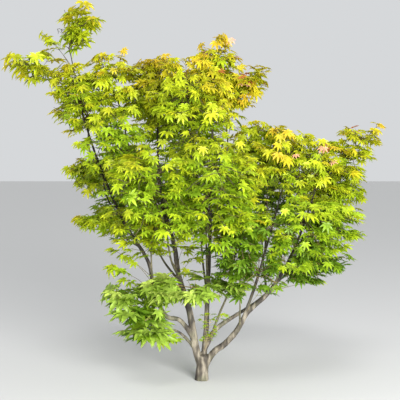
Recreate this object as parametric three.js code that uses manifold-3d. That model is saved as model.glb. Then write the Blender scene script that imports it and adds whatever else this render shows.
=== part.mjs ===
// A young Japanese maple: one short trunk forks close to the ground into three stems, long boughs rise and
// spread from them in an uneven vase, and each bough ends in its own mass of twigs and palmate leaves.
// Millimetres, +Z up, the foot of the trunk at the origin. Places are percents of the tree's height.

import * as THREE from "three";
import { ConvexGeometry } from "three/addons/geometries/ConvexGeometry.js";
import { mergeVertices } from "three/addons/utils/BufferGeometryUtils.js";
import Module from "manifold-3d";

const wasm = await Module();
wasm.setup();

// ---- Driving sizes ----
const TREE_HEIGHT = 2000;
const LEAF_LENGTH = 116; // the middle lobe, larger than a real one: each leaf stands for a spray of a few
const LEAF_THICKNESS = 4.4; // where the lobes meet
const LEAF_DOME = 0.16; // how far the lobes hang below the middle, as a share of the leaf's length
const STALK_LENGTH = [26, 80];
const STEM_RADIUS = 5.4;
const TWIG_RADIUS = 3.2;
const TWIG_LENGTH = [45, 170];
const NODE_LENGTH = 8; // the stretch of a twig that bears its buds
const JOINT_GAP = 0.3; // between a limb and what carries it
const LIMB_CLEARANCE = 2; // between a limb and a leaf or twig that passes it
const MASS_GAP = 1.5; // between two neighbouring masses
const ROOT_ROOM = 30; // from a mass's root to a wall of its space
const SPACE_LENGTH = 0.63; // half a mass's space, as a share of the way from its root to its reach

const percent = TREE_HEIGHT / 100;
const place = ([x, y, z]) => new THREE.Vector3(x, y, z).multiplyScalar(percent);
const UP = new THREE.Vector3(0, 0, 1);

// ---- The trunk ----
// It starts straight up out of the ground, where it is cut flat, and leans over by its crest.
const TRUNK = { height: 6.9, sunk: 0.4, foot: 1.86, waist: 1.62, fork: 1.84, crest: 1.2, flare: 1.3, lean: [0.3, 0.3] };

// ---- The limbs ----
// Each grows from another at a share of its length, runs through a few places and thins from its girth to
// its tip (radii). Where no place between is given it sags outward first and then rises, by its bow.
const LIMBS = [
  { name: "left_stem", from: "trunk", at: 0.5, through: [[-1.6, 0, 8.4], [-2.4, 0, 13.2], [-3.3, 0, 18.5],
    [-6.2, 1, 28], [-7.4, 1, 36], [-11, 2, 49]], tip: [-12, 3, 71], girth: 1.08, end: 0.22 },
  { name: "middle_stem", from: "trunk", at: 0.56, through: [[0.8, 1, 9], [1.2, 1.8, 14], [1.4, 2.2, 20],
    [1.9, 3, 31], [2.5, 4, 50]], tip: [3, 4, 76], girth: 0.8, end: 0.2 },
  { name: "right_stem", from: "trunk", at: 0.46, through: [[3.4, -0.8, 7.9], [6, -1.3, 9.9], [9.2, -2, 13.6],
    [12, -2, 18.4], [17.4, -2, 23.5], [21.5, -2, 29.5], [26, -1, 39]], tip: [30.5, 0, 52], girth: 0.94, end: 0.2 },
  { name: "left_whip", from: "left_stem", at: 0.12, through: [[-6, -1.2, 16.4], [-9.4, -2.6, 17.6], [-12.5, -4, 24.5],
    [-14, -4, 32], [-20, -4, 42], [-25.5, -3, 54], [-31, -2, 70]], tip: [-34.5, -2, 87], girth: 0.66, end: 0.18 },
  { name: "left_low_bough", from: "left_stem", at: 0.07, through: [[-4.6, -1.4, 11.9], [-7, -3, 13.9]],
    tip: [-12, -7, 14.6], girth: 0.5, end: 0.2 },
  { name: "left_spray_bough", from: "left_whip", at: 0.88, tip: [-38.5, -3, 81], girth: 0.2, end: 0.15 },
  { name: "left_side_bough", from: "left_whip", at: 0.47, tip: [-26.5, 1.5, 53.5], girth: 0.24, end: 0.17 },
  { name: "left_shoulder_bough", from: "left_whip", at: 0.62, tip: [-29.5, -5, 69], girth: 0.25, end: 0.17 },
  { name: "left_out_bough", from: "left_whip", at: 0.36, tip: [-22.5, -5, 43], girth: 0.26, end: 0.17 },
  { name: "low_pad_bough", from: "left_whip", at: 0.16, tip: [-11.5, -8, 26], girth: 0.3, end: 0.2 },
  { name: "front_left_bough", from: "left_stem", at: 0.36, tip: [-9, -20, 45], girth: 0.36, end: 0.18 },
  { name: "front_low_left_bough", from: "left_whip", at: 0.22, tip: [-13, -11, 39.5], girth: 0.28, end: 0.17 },
  { name: "left_inner_bough", from: "left_stem", at: 0.62, tip: [-17, -8, 57], girth: 0.28, end: 0.17 },
  { name: "ridge_bough", from: "left_stem", at: 0.74, tip: [-21, -2, 71], girth: 0.28, end: 0.17 },
  { name: "front_mid_bough", from: "middle_stem", at: 0.3, tip: [1, -20, 45], girth: 0.36, end: 0.18 },
  { name: "high_front_bough", from: "middle_stem", at: 0.6, tip: [-3, -11, 64], girth: 0.26, end: 0.17 },
  { name: "right_top_bough", from: "middle_stem", at: 0.66, tip: [5.8, 4, 73], girth: 0.27, end: 0.17 },
  { name: "right_low_bough", from: "middle_stem", at: 0.07, through: [[3.4, 2, 12.8], [5.8, 2.4, 14.9], [9, 2.6, 16.9],
    [15, 2, 21]], tip: [23, -1, 29.2], girth: 0.76, end: 0.18 },
  { name: "front_low_right_bough", from: "right_low_bough", at: 0.12, through: [[4.8, -2.2, 18.6], [7, -5.4, 24.6]],
    tip: [8.5, -12, 35], girth: 0.34, end: 0.17 },
  { name: "right_tuft_bough", from: "right_stem", at: 0.27, tip: [9.8, -11, 27.5], girth: 0.26, end: 0.17 },
  { name: "right_inner_bough", from: "right_stem", at: 0.3, through: [[14, -2.5, 25.5], [17, -3, 36]],
    tip: [21.5, -4, 53], girth: 0.46, end: 0.19 },
  { name: "right_fill_bough", from: "right_stem", at: 0.48, tip: [20.5, -12, 37], girth: 0.28, end: 0.17 },
  { name: "right_mid_bough", from: "right_stem", at: 0.7, tip: [32, 8, 47], girth: 0.28, end: 0.17 },
  { name: "right_out_bough", from: "right_stem", at: 0.62, tip: [28, -9, 41], girth: 0.26, end: 0.17 },
  { name: "right_shoulder_bough", from: "right_inner_bough", at: 0.5, tip: [18, 7, 56], girth: 0.26, end: 0.17 },
  { name: "back_left_bough", from: "left_stem", at: 0.34, tip: [-15, 20, 42], girth: 0.36, end: 0.18 },
  { name: "back_mid_bough", from: "middle_stem", at: 0.26, tip: [-0.5, 22, 44], girth: 0.36, end: 0.18 },
  { name: "back_high_bough", from: "middle_stem", at: 0.56, tip: [-3.5, 15, 65], girth: 0.28, end: 0.17 },
  { name: "back_right_bough", from: "right_stem", at: 0.46, tip: [17, 19, 42], girth: 0.34, end: 0.18 },
];
const LIMB_BOW = 0.12;

// ---- The masses of foliage ----
// Each fills a rounded space from its limb's tip to its reach, as wide and as thick as said (half sizes),
// and keeps to that space. Its twigs end in leaves.
const MASSES = [
  { limb: "left_stem", name: "crown_top", reach: [-11.5, 2, 87.5], wide: 11.5, thick: 11, leaves: 18, nodes: 3, twigs: 5 },
  { limb: "middle_stem", name: "crown_peak", reach: [5.2, 3.5, 93], wide: 9.5, thick: 8.5, leaves: 14, nodes: 3, twigs: 4 },
  { limb: "right_stem", name: "right_tip", reach: [47, -4, 69], wide: 10.5, thick: 8, leaves: 18, nodes: 3, twigs: 5 },
  { limb: "left_whip", name: "top_plume", reach: [-31, -2, 100], wide: 9, thick: 7.5, leaves: 10, nodes: 3, twigs: 3 },
  { limb: "left_low_bough", name: "low_left", reach: [-22.5, -12, 26.5], wide: 11, thick: 8.5, leaves: 18, nodes: 3, twigs: 5 },
  { limb: "left_spray_bough", name: "left_spray", reach: [-51, -5, 86.3], wide: 6, thick: 6, leaves: 7, nodes: 3, twigs: 2 },
  { limb: "left_side_bough", name: "left_side", reach: [-36, 2, 57], wide: 9.5, thick: 5.5, leaves: 9, nodes: 3, twigs: 3 },
  { limb: "left_shoulder_bough", name: "left_shoulder", reach: [-34.5, -9, 84], wide: 8.5, thick: 9.5, leaves: 14, nodes: 3, twigs: 4 },
  { limb: "left_out_bough", name: "left_out", reach: [-33.5, -7, 44.3], wide: 9.5, thick: 5, leaves: 10, nodes: 3, twigs: 3 },
  { limb: "low_pad_bough", name: "low_pad", reach: [9, -17, 27.5], wide: 11, thick: 5, leaves: 14, nodes: 3, twigs: 4 },
  { limb: "front_left_bough", name: "front_left", reach: [-16, -37, 59], wide: 13, thick: 11.5, leaves: 19, nodes: 3, twigs: 6 },
  { limb: "front_low_left_bough", name: "front_low_left", reach: [-12, -27, 48], wide: 11, thick: 7, leaves: 14, nodes: 3, twigs: 4 },
  { limb: "left_inner_bough", name: "left_inner", reach: [-26, -20, 69], wide: 11, thick: 10, leaves: 18, nodes: 3, twigs: 5 },
  { limb: "ridge_bough", name: "ridge", reach: [-27, -4, 87], wide: 12, thick: 9.5, leaves: 14, nodes: 3, twigs: 4 },
  { limb: "front_mid_bough", name: "front_mid", reach: [4, -38, 62], wide: 13, thick: 11.5, leaves: 19, nodes: 3, twigs: 6 },
  { limb: "high_front_bough", name: "high_front", reach: [-4, -21, 84], wide: 12, thick: 11, leaves: 18, nodes: 3, twigs: 5 },
  { limb: "right_top_bough", name: "right_top", reach: [17.5, 3, 84], wide: 9, thick: 5, leaves: 14, nodes: 3, twigs: 4 },
  { limb: "front_low_right_bough", name: "front_low_right", reach: [9.5, -31, 46], wide: 11, thick: 9, leaves: 14, nodes: 3, twigs: 4 },
  { limb: "right_tuft_bough", name: "right_tuft", reach: [17, -25, 34], wide: 9.5, thick: 6, leaves: 10, nodes: 3, twigs: 3 },
  { limb: "right_low_bough", name: "right_low", reach: [39, -4, 34], wide: 11, thick: 5, leaves: 14, nodes: 3, twigs: 4 },
  { limb: "right_inner_bough", name: "right_inner", reach: [27, -9, 66.5], wide: 11, thick: 9.5, leaves: 14, nodes: 3, twigs: 4 },
  { limb: "right_fill_bough", name: "right_fill", reach: [27, -28, 48], wide: 12, thick: 10, leaves: 18, nodes: 3, twigs: 5 },
  { limb: "right_mid_bough", name: "right_mid", reach: [43, 13, 53.5], wide: 11, thick: 8.5, leaves: 14, nodes: 3, twigs: 4 },
  { limb: "right_out_bough", name: "right_out", reach: [38, -18, 45], wide: 11, thick: 8.5, leaves: 14, nodes: 3, twigs: 4 },
  { limb: "right_shoulder_bough", name: "right_shoulder", reach: [14, 9, 69.5], wide: 11, thick: 11, leaves: 14, nodes: 3, twigs: 4 },
  { limb: "back_left_bough", name: "back_left", reach: [-27, 36, 60], wide: 14.5, thick: 13, leaves: 21, nodes: 3, twigs: 6 },
  { limb: "back_mid_bough", name: "back_mid", reach: [-3, 42, 62], wide: 14.5, thick: 13, leaves: 21, nodes: 3, twigs: 6 },
  { limb: "back_high_bough", name: "back_high", reach: [-9, 25, 83], wide: 14.5, thick: 12, leaves: 21, nodes: 3, twigs: 6 },
  { limb: "back_right_bough", name: "back_right", reach: [26, 35, 60], wide: 14.5, thick: 13, leaves: 21, nodes: 3, twigs: 6 },
];
const ROUNDNESS = 3; // the exponent of a mass's space: 2 is an ellipsoid, more is fuller at its corners

// ---- Materials ----
const BARK = new THREE.MeshStandardMaterial({ color: 0x8a7d6c, roughness: 0.85, metalness: 0 });
const leafMaterial = (color) => new THREE.MeshStandardMaterial({ color, roughness: 0.55, metalness: 0 });
// Young leaves at the top are golden, the shaded ones below are green.
const FOLIAGE = [
  { above: 62, material: leafMaterial(0xc0b43a) },
  { above: 40, material: leafMaterial(0x9db32e) },
  { above: 0, material: leafMaterial(0x7c9c34) },
];

// ---- Solids and booleans ----
function solidOf(geometry) {
  const bare = new THREE.BufferGeometry().setAttribute("position", geometry.getAttribute("position"));
  bare.setIndex(geometry.index);
  const merged = mergeVertices(bare, 1e-4);
  const solid = new wasm.Manifold(new wasm.Mesh({
    numProp: 3,
    vertProperties: new Float32Array(merged.attributes.position.array),
    triVerts: new Uint32Array(merged.index.array),
  }));
  return solid;
}

function largestOf(solid) {
  return solid.decompose().reduce((a, b) => (b.volume() > a.volume() ? b : a));
}

const touches = (a, b) => a.intersect(b).numTri() > 0;

// A node's mesh, placed at its own root.
function meshOf(name, solid, root, material) {
  const { vertProperties, triVerts } = solid.getMesh();
  const geometry = new THREE.BufferGeometry();
  geometry.setAttribute("position", new THREE.BufferAttribute(new Float32Array(vertProperties), 3));
  geometry.setIndex(new THREE.BufferAttribute(new Uint32Array(triVerts), 1));
  geometry.translate(-root.x, -root.y, -root.z);
  const mesh = new THREE.Mesh(geometry, material);
  mesh.name = name;
  mesh.position.copy(root);
  return mesh;
}

// Numbers from 0 to 1 that are the same on each run.
function seeded(seed) {
  let state = seed >>> 0;
  return () => {
    state = (state + 0x6d2b79f5) >>> 0;
    let t = Math.imul(state ^ (state >>> 15), 1 | state);
    t = (t + Math.imul(t ^ (t >>> 7), 61 | t)) ^ t;
    return ((t ^ (t >>> 14)) >>> 0) / 4294967296;
  };
}

// ---- Limbs ----
// A cylinder laid along a curve, as thick at each share of its length as radiusAt says.
function tube(curve, radiusAt, sides, rings) {
  const geometry = new THREE.CylinderGeometry(1, 1, 1, sides, rings);
  const frames = curve.computeFrenetFrames(rings);
  const position = geometry.getAttribute("position");
  const point = new THREE.Vector3();
  for (let i = 0; i < position.count; i++) {
    const ring = Math.round((position.getY(i) + 0.5) * rings);
    const radius = radiusAt(ring / rings, Math.atan2(position.getX(i), position.getZ(i)));
    point.copy(curve.getPointAt(ring / rings))
      .addScaledVector(frames.normals[ring], position.getX(i) * radius)
      .addScaledVector(frames.binormals[ring], -position.getZ(i) * radius);
    position.setXYZ(i, ...point);
  }
  return geometry;
}

function makeTrunk() {
  const { height, sunk, foot, waist, fork, crest, flare, lean } = TRUNK;
  const curve = new THREE.CubicBezierCurve3(
    place([0, 0, -sunk]), place([0, 0, height / 3]), place([...lean, (2 * height) / 3]), place([...lean, height]),
  );
  const radius = (share, angle) => {
    const rise = Math.max(share * (height + sunk) - sunk, 0);
    const ribs = 1 + 0.06 * Math.cos(5 * angle) * Math.exp(-rise / flare);
    const swell = (fork - waist) * THREE.MathUtils.smoothstep(share, 0.45, 0.88);
    const dome = share === 1 ? crest / fork : 1;
    return (waist + (foot - waist) * Math.exp(-rise / flare) + swell) * dome * ribs * percent;
  };
  return { name: "trunk", curve, radius, sides: 15, rings: 8 };
}

// Between a limb's root and its tip it leaves outward and low, and turns up towards the end.
function bowed(root, tip) {
  const reach = tip.clone().sub(root);
  const outward = new THREE.Vector3(reach.x, reach.y, 0).normalize();
  const bow = LIMB_BOW * reach.length();
  return root.clone().addScaledVector(reach, 0.5).addScaledVector(outward, bow).addScaledVector(UP, -bow / 2);
}

function makeLimb(row, parent) {
  const root = parent.curve.getPointAt(row.at);
  const tip = place(row.tip);
  const between = row.through ? row.through.map(place) : [bowed(root, tip)];
  const curve = new THREE.CatmullRomCurve3([root, ...between, tip], false, "centripetal");
  const length = curve.getLength();
  const [girth, end] = [row.girth * percent, row.end * percent];
  const radius = (share) => {
    const collar = 0.2 * girth * Math.exp((-share * length) / (2.5 * girth));
    return end + (girth - end) * (1 - share) ** 1.15 + collar;
  };
  const stout = row.girth > 0.6;
  return { name: row.name, curve, radius, sides: stout ? 8 : 5, rings: Math.ceil(length / (stout ? 105 : 85)) };
}

const limbs = [makeTrunk()];
const limbNamed = (name) => limbs.find((limb) => limb.name === name);
for (const row of LIMBS) limbs.push(makeLimb(row, limbNamed(row.from)));

// The limb's solid, thicker all round by the given amount.
function limbSolid(limb, extra = 0) {
  const thicker = (share, angle) => limb.radius(share, angle) + extra;
  return solidOf(tube(limb.curve, thicker, limb.sides, limb.rings));
}

// Each limb is cut to its seat on the limbs made before it.
const seats = [];
for (const limb of limbs) {
  const whole = limbSolid(limb).trimByPlane([0, 0, 1], 0);
  limb.solid = seats.length ? largestOf(seats.reduce((solid, seat) => solid.subtract(seat), whole)) : whole;
  seats.push(limbSolid(limb, JOINT_GAP));
}
const limbSpace = wasm.Manifold.union(limbs.map((limb) => limbSolid(limb, LIMB_CLEARANCE)));

// ---- The space of each mass ----
function makeSpace(row, index) {
  const limb = limbNamed(row.limb);
  const heading = limb.curve.getTangentAt(1);
  const root = limb.curve.getPointAt(1).addScaledVector(heading, JOINT_GAP);
  const reach = place(row.reach);
  const along = reach.clone().sub(root);
  const half = SPACE_LENGTH * along.length();
  along.normalize();
  const side = new THREE.Vector3().crossVectors(UP, along);
  if (side.length() < 0.5) side.set(1, 0, 0).addScaledVector(along, -along.x);
  side.normalize();
  const over = new THREE.Vector3().crossVectors(along, side);
  const centre = reach.clone().addScaledVector(along, -half);
  const sunward = centre.clone().setZ(0).divideScalar(0.25 * TREE_HEIGHT).clampLength(0, 1);
  const halves = [half, row.wide * percent, row.thick * percent];
  return { ...row, index, limb, heading, root, reach, axes: [along, side, over], centre, sunward, halves, walls: [] };
}

// How far a space reaches from its centre in a direction.
function extent(space, direction) {
  return Math.hypot(...space.axes.map((axis, i) => axis.dot(direction) * space.halves[i]));
}

// A flat wall between each two spaces that meet keeps their masses apart. It faces the way in which they
// overlap least, and leaves both roots on their own sides.
function wallBetween(a, b) {
  const apart = b.centre.clone().sub(a.centre);
  const ways = [apart.clone().normalize(), b.root.clone().sub(a.root).normalize(), ...a.axes, ...b.axes];
  ways.push(...ways.slice(2).map((way) => way.clone().multiplyScalar(Math.sign(way.dot(apart)) || 1).add(ways[0]).normalize()));
  let best = null;
  for (const way of ways) {
    const direction = way.clone().multiplyScalar(Math.sign(way.dot(apart)) || 1);
    const [fromA, fromB] = [extent(a, direction), extent(b, direction)];
    const overlap = fromA + fromB - apart.dot(direction);
    if (overlap < 0) return;
    const [low, high] = [a.root.dot(direction) + ROOT_ROOM, b.root.dot(direction) - ROOT_ROOM];
    const middle = a.centre.dot(direction) + fromA - (overlap * fromA) / (fromA + fromB);
    const limit = THREE.MathUtils.clamp(middle, Math.min(low, high), Math.max(low, high));
    const cost = overlap + 2 * Math.abs(limit - middle) + (low > high ? 1000 : 0);
    if (!best || cost < best.cost) best = { direction, limit, cost };
  }
  a.walls.push({ direction: best.direction, limit: best.limit - MASS_GAP / 2 });
  b.walls.push({ direction: best.direction.clone().negate(), limit: -best.limit - MASS_GAP / 2 });
}

function inside(space, point, margin = 0) {
  const offset = point.clone().sub(space.centre);
  const share = (axis, i) => Math.abs(offset.dot(axis)) / Math.max(space.halves[i] - margin, 20);
  const full = space.axes.reduce((sum, axis, i) => sum + share(axis, i) ** ROUNDNESS, 0);
  return full <= 1 && space.walls.every(({ direction, limit }) => point.dot(direction) <= limit - margin);
}

const spaces = MASSES.map(makeSpace);
spaces.forEach((a, i) => spaces.slice(i + 1).forEach((b) => wallBetween(a, b)));

// ---- Wood and leaves as one growing surface ----
// A surface is a list of points and of faces, three points each, counter-clockwise from outside. A loop is
// three points that a twig or a stalk goes on from, counter-clockwise about the way it grows.
const newSurface = () => ({ points: [], faces: [] });

function addPoints(surface, points) {
  const first = surface.points.length;
  surface.points.push(...points);
  return points.map((_, i) => first + i);
}

function geometryOf({ points, faces }) {
  return new THREE.BufferGeometry().setFromPoints(points).setIndex(faces.flat());
}

function meanOf(points) {
  return points.reduce((sum, point) => sum.add(point), new THREE.Vector3()).divideScalar(points.length);
}

function normalOf(surface, loop) {
  return new THREE.Triangle(...loop.map((index) => surface.points[index])).getNormal(new THREE.Vector3());
}

// A loop's points in order of their bearing about an axis, from a given direction on, and the first again.
function inOrder(surface, loop, axis, from) {
  const across = new THREE.Vector3().crossVectors(axis, from);
  const middle = meanOf(loop.map((index) => surface.points[index]));
  const sorted = loop.map((index) => {
    const offset = surface.points[index].clone().sub(middle);
    return { index, bearing: (Math.atan2(offset.dot(across), offset.dot(from)) + 2 * Math.PI) % (2 * Math.PI) };
  }).sort((p, q) => p.bearing - q.bearing);
  return [...sorted, { index: sorted[0].index, bearing: sorted[0].bearing + 2 * Math.PI }];
}

// The faces between two loops one behind the other, each in order of its bearings.
function stitch(surface, behind, ahead) {
  for (let i = 0, j = 0; i < behind.length - 1 || j < ahead.length - 1; ) {
    if (j === ahead.length - 1 || (i < behind.length - 1 && behind[i + 1].bearing < ahead[j + 1].bearing)) {
      surface.faces.push([behind[i].index, behind[i + 1].index, ahead[j].index]);
      i += 1;
    } else {
      surface.faces.push([behind[i].index, ahead[j + 1].index, ahead[j].index]);
      j += 1;
    }
  }
}

// A three-sided ring round a centre, turned so that its first corner lies towards a point.
function ringPoints(centre, along, radius, towards) {
  const first = towards.clone().sub(centre);
  first.addScaledVector(along, -first.dot(along)).setLength(radius);
  return [0, 1, 2].map((i) => first.clone().applyAxisAngle(along, (i * 2 * Math.PI) / 3).add(centre));
}

// The loop carried on to a new ring. Its three sides are the places of the buds at a node.
function extend(surface, loop, centre, along, radius) {
  const ring = addPoints(surface, ringPoints(centre, along, radius, surface.points[loop[0]]));
  const sides = [0, 1, 2].map((i) => {
    const j = (i + 1) % 3;
    const bud = [loop[i], loop[j], ring[j]];
    surface.faces.push(bud, [loop[i], ring[j], ring[i]]);
    return bud;
  });
  return { ring, sides };
}

// ---- Leaves ----
// A palmate leaf's outline round the point where its lobes meet: degrees from the middle lobe, and the
// distance as a share of the leaf's length. The last point is beside its stalk.
const LEAF_HALF = [[26, 0.42], [52, 0.92], [79, 0.38], [104, 0.64], [168, 0.1]];
const LEAF_OUTLINE = [[0, 1], ...LEAF_HALF, ...[...LEAF_HALF].reverse().map(([angle, radius]) => [-angle, radius])];

// A leaf at the end of a loop: its stalk runs to the site, where the lobes meet. The middle lobe points
// along its direction, and its upper face is towards facing.
function addLeaf(surface, loop, { site, direction, facing, length }) {
  const x = direction.clone().normalize();
  const z = facing.clone().addScaledVector(x, -facing.dot(x)).normalize();
  const y = new THREE.Vector3().crossVectors(z, x);
  const rim = addPoints(surface, LEAF_OUTLINE.map(([angle, radius]) => {
    const bearing = THREE.MathUtils.degToRad(angle);
    return site.clone()
      .addScaledVector(x, radius * length * Math.cos(bearing))
      .addScaledVector(y, radius * length * Math.sin(bearing))
      .addScaledVector(z, -LEAF_DOME * length * radius);
  }));
  const [top, bottom] = addPoints(surface, [1, -1].map((face) => site.clone().addScaledVector(z, (face * LEAF_THICKNESS) / 2)));
  const left = LEAF_HALF.length;
  rim.forEach((index, i) => {
    const next = rim[(i + 1) % rim.length];
    if (i !== left) surface.faces.push([top, index, next], [bottom, next, index]);
  });
  const neck = [rim[left], top, rim[left + 1], bottom];
  const way = normalOf(surface, loop);
  const turn = new THREE.Quaternion().setFromUnitVectors(x, way);
  stitch(surface, inOrder(surface, loop, way, y.clone().applyQuaternion(turn)), inOrder(surface, neck, x, y));
}

// ---- Growing a mass ----
// A piece's own closed solid, a hair off the face that carries it, for trying whether it has room.
function trial(surface, loop, build) {
  const normal = normalOf(surface, loop);
  const piece = newSurface();
  const start = addPoints(piece, loop.map((index) => surface.points[index].clone().addScaledVector(normal, JOINT_GAP)));
  piece.faces.push([start[0], start[2], start[1]]);
  build(piece, start);
  return piece;
}

function grow(space) {
  const random = seeded(1000 + 37 * space.index);
  const between = (low, high) => low + (high - low) * random();
  const surface = newSurface();
  const buds = [];
  const solids = [];
  const middles = [];
  let leaves = 0;

  // Grows a piece from a loop if it stays in the space and clear of all other pieces.
  const attempt = (loop, build, carried = []) => {
    const piece = trial(surface, loop, build);
    if (!piece.points.every((point) => inside(space, point))) return null;
    const solid = solidOf(geometryOf(piece));
    if (solid.status() !== "NoError" || touches(solid, limbSpace)) return null;
    if (solids.some((other) => !carried.includes(other) && touches(solid, other))) return null;
    solids.push(solid);
    return build(surface, loop) ?? true;
  };
  const open = (bud) => surface.faces.splice(surface.faces.indexOf(bud), 1);
  const budWay = (bud) => normalOf(surface, bud);
  const budPlace = (bud) => meanOf(bud.map((index) => surface.points[index]));

  // A node: a short stretch whose three sides carry a bud each.
  const node = (target, loop, centre, along, radius) => {
    const before = centre.clone().addScaledVector(along, -NODE_LENGTH);
    const { ring } = extend(target, loop, before, along, radius);
    return extend(target, ring, centre, along, radius);
  };

  // The stem goes on from the limb's tip, bends through the middle of the space and bears a few nodes.
  const start = space.root.clone().addScaledVector(space.heading, 0.25 * LEAF_LENGTH);
  const end = space.reach.clone().addScaledVector(space.axes[0], -1.35 * LEAF_LENGTH);
  const curve = new THREE.CatmullRomCurve3([space.root, start, space.centre.clone().lerp(end, 0.2), end]);
  const stemSolid = newSurface();
  let tip;
  for (const target of [surface, stemSolid]) {
    const corner = new THREE.Vector3(0.3, -1, 0.2).add(space.root);
    let loop = addPoints(target, ringPoints(space.root, space.heading, STEM_RADIUS, corner));
    target.faces.push([loop[0], loop[2], loop[1]]);
    for (let n = 1; n <= space.nodes; n++) {
      const share = (n / space.nodes) ** 0.9;
      const { ring, sides } = node(target, loop, curve.getPointAt(share), curve.getTangentAt(share), STEM_RADIUS - 1.2 * share);
      if (target === surface) buds.push(...sides);
      loop = ring;
    }
    if (target === surface) tip = loop;
    else target.faces.push([...loop]);
  }
  solids.push(solidOf(geometryOf(stemSolid)));

  // A leaf at a bud: it heads outward, more or less turned and drooping, and faces up and out.
  const proposeLeaf = (bud, way) => {
    const stalk = budWay(bud).addScaledVector(way ?? budWay(bud), 0.5);
    stalk.add(new THREE.Vector3(random() - 0.5, random() - 0.5, random() - 0.5).multiplyScalar(1.5)).normalize();
    const site = budPlace(bud).addScaledVector(stalk, between(...STALK_LENGTH));
    const outward = site.clone().sub(space.centre).divideScalar(space.halves[0]).addScaledVector(space.axes[0], 0.3);
    outward.setZ(0.4 * outward.z).normalize();
    const direction = outward.clone().applyAxisAngle(UP, between(-1, 1) ** 3 * 2.6).addScaledVector(stalk, 0.3);
    direction.addScaledVector(UP, between(-1.3, 0)).normalize();
    const facing = UP.clone().multiplyScalar(0.55).addScaledVector(outward, 0.3).addScaledVector(space.sunward, 0.45);
    facing.add(new THREE.Vector3(0.75, 0, 0).applyAxisAngle(UP, between(0, 2 * Math.PI)));
    const length = LEAF_LENGTH * between(0.8, 1.08);
    const middle = site.clone().addScaledVector(direction, 0.3 * length);
    return { bud, site, direction, facing, length, middle };
  };
  const addAt = (loop, leaf, carried) => {
    if (!attempt(loop, (target, from) => addLeaf(target, from, leaf), carried)) return false;
    leaves += 1;
    middles.push(leaf.middle);
    return true;
  };
  const roomFor = (middle) => Math.min(...middles.map((other) => other.distanceTo(middle)), 1e4);

  // The last leaf reaches the end of the space.
  const axis = space.axes[0];
  for (let n = 0; n < 30 && !leaves; n++) {
    const facing = UP.clone().multiplyScalar(0.5).add(new THREE.Vector3(1, 0, 0).applyAxisAngle(UP, between(0, 2 * Math.PI)));
    const site = space.reach.clone().addScaledVector(axis, -LEAF_LENGTH * (1 + 0.004 * n));
    addAt(tip, { site, direction: axis, facing, length: 0.98 * LEAF_LENGTH, middle: site });
  }
  if (!leaves) surface.faces.push([...tip]);

  // Twigs go from the stem's buds to where there is most room, and end in a node and a leaf.
  const stemBuds = [...buds];
  for (let n = 0; n < space.twigs; n++) {
    const tries = [];
    for (let i = 0; i < 60; i++) {
      const bud = stemBuds[Math.floor(random() * stemBuds.length)];
      const way = budWay(bud).multiplyScalar(1.2);
      way.add(new THREE.Vector3(random() - 0.5, random() - 0.5, random() - 0.5).multiplyScalar(2)).addScaledVector(space.axes[0], 0.3).normalize();
      const length = between(...TWIG_LENGTH);
      const tip = budPlace(bud).addScaledVector(way, length);
      if (inside(space, tip, 0.5 * LEAF_LENGTH)) tries.push({ bud, way, tip, room: roomFor(tip) + 0.3 * length });
    }
    tries.sort((p, q) => q.room - p.room);
    for (const { bud, way, tip } of tries.slice(0, 24)) {
      const parts = {};
      const build = (target, loop) => {
        const { ring, sides } = node(target, loop, tip, way, TWIG_RADIUS);
        if (target === surface) Object.assign(parts, { ring, sides });
        else target.faces.push([...ring]);
      };
      if (!attempt(bud, build)) continue;
      open(bud);
      for (const list of [buds, stemBuds]) list.splice(list.indexOf(bud), 1);
      buds.push(...parts.sides);
      const leaf = Array.from({ length: 24 }, () => proposeLeaf(parts.ring, way)).find((each) => addAt(parts.ring, each));
      if (!leaf) surface.faces.push([...parts.ring]);
      break;
    }
  }

  // Leaves fill the buds that have room, the roomiest first.
  for (let misses = 0; leaves < space.leaves && misses < 12; ) {
    const tries = Array.from({ length: 500 }, () => proposeLeaf(buds[Math.floor(random() * buds.length)]));
    const tipOf = (leaf) => leaf.site.clone().addScaledVector(leaf.direction, leaf.length);
    const good = tries.filter((leaf) => inside(space, leaf.site, 8) && inside(space, tipOf(leaf))).map((leaf) => ({ ...leaf, room: roomFor(leaf.middle) }));
    const leaf = good.sort((p, q) => q.room - p.room).slice(0, 80).find((each) => addAt(each.bud, each));
    if (leaf) {
      open(leaf.bud);
      buds.splice(buds.indexOf(leaf.bud), 1);
    } else misses += 1;
  }
  return solidOf(geometryOf(surface));
}

// ---- The tree ----
const tree = new THREE.Group();
tree.name = "japanese_maple";
const wood = new THREE.Group();
const foliage = new THREE.Group();
tree.add(wood, foliage);

for (const limb of limbs) wood.add(meshOf(limb.name, limb.solid, limb.curve.getPointAt(0), BARK));
for (const space of spaces) {
  const { material } = FOLIAGE.find(({ above }) => space.centre.z > above * percent);
  foliage.add(meshOf(`${space.name}_foliage`, grow(space), space.root, material));
}

export default tree;
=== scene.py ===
"""A young Japanese maple in early leaf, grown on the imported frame: smooth grey bark on the trunk and boughs,
fine twigs that carry each mass of foliage on by the part's own rule, and palmate leaves. Most are near their
real size, and those of a few masses are larger and fewer."""
import math
import random

import bpy
import numpy as np
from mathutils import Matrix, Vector, noise


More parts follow.
